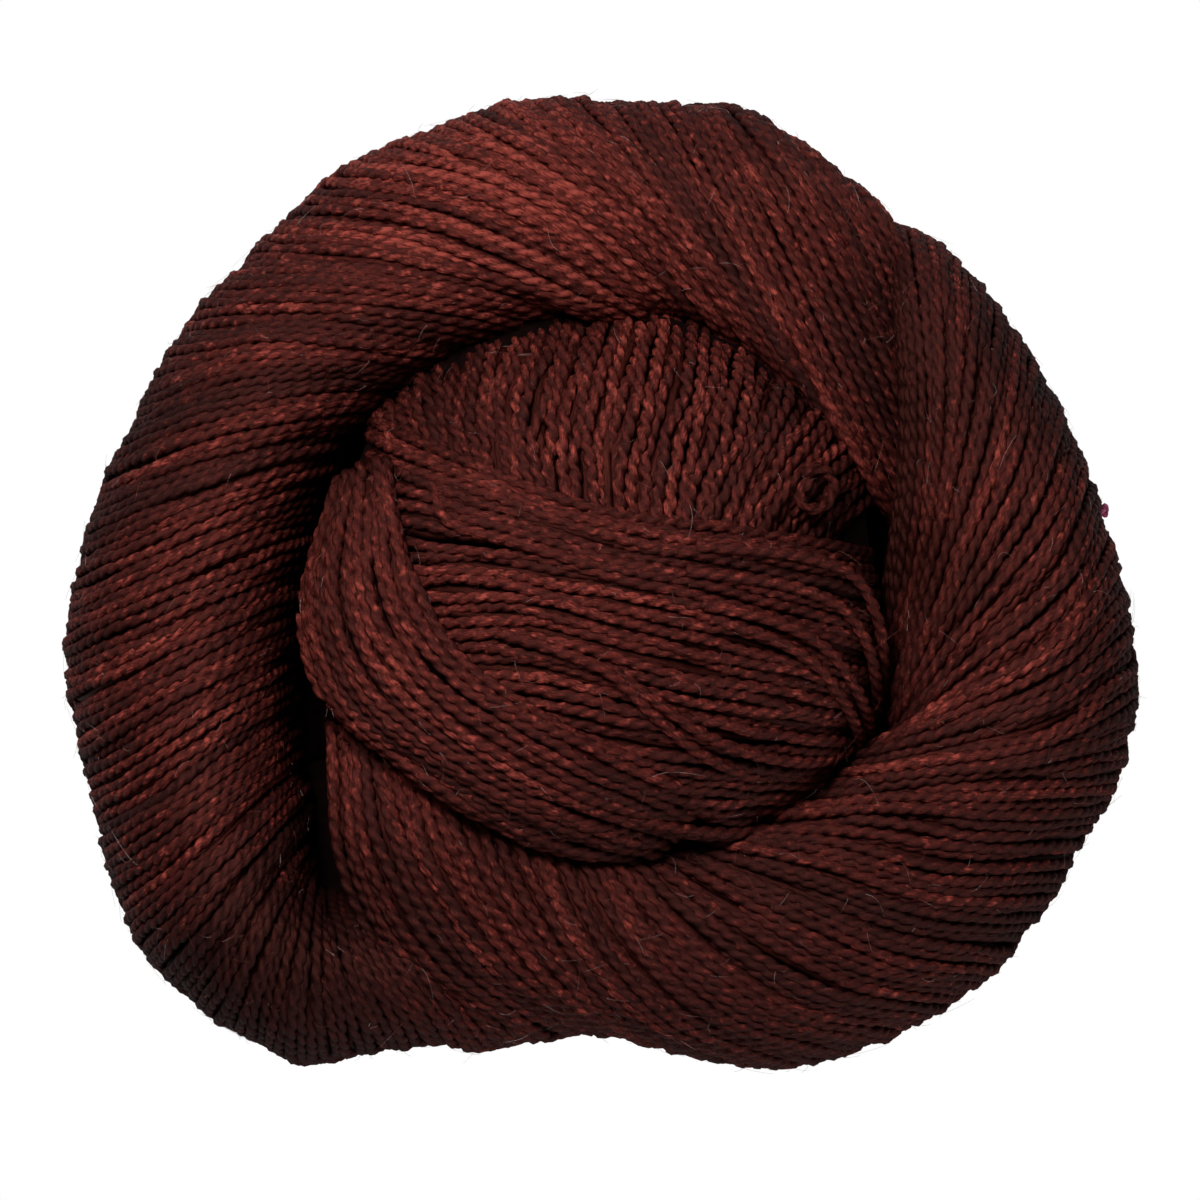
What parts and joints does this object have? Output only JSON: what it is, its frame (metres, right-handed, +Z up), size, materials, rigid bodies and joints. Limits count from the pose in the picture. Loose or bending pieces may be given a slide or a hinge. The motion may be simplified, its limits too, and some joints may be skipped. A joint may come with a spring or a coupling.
{
  "type": "skein of sock yarn",
  "caption": "Hank of plied yarn, twisted into one thick rope and coiled into a flat round bun with its end tucked in.",
  "frame": {"origin": "on the surface that the skein lies on, under the middle of its bounding box", "axes": "+Z up, +X along the longest side, towards the rim with the tie"},
  "size_m": [0.1322, 0.1198, 0.0505],
  "materials": {
    "yarn": "soft plied wool with a slight lustre, tonal dark burgundy",
    "tie_yarn": "soft magenta yarn"
  },
  "bodies": {
    "root": {"skein": "yarn", "tie": "tie_yarn"}
  },
  "joints": []
}
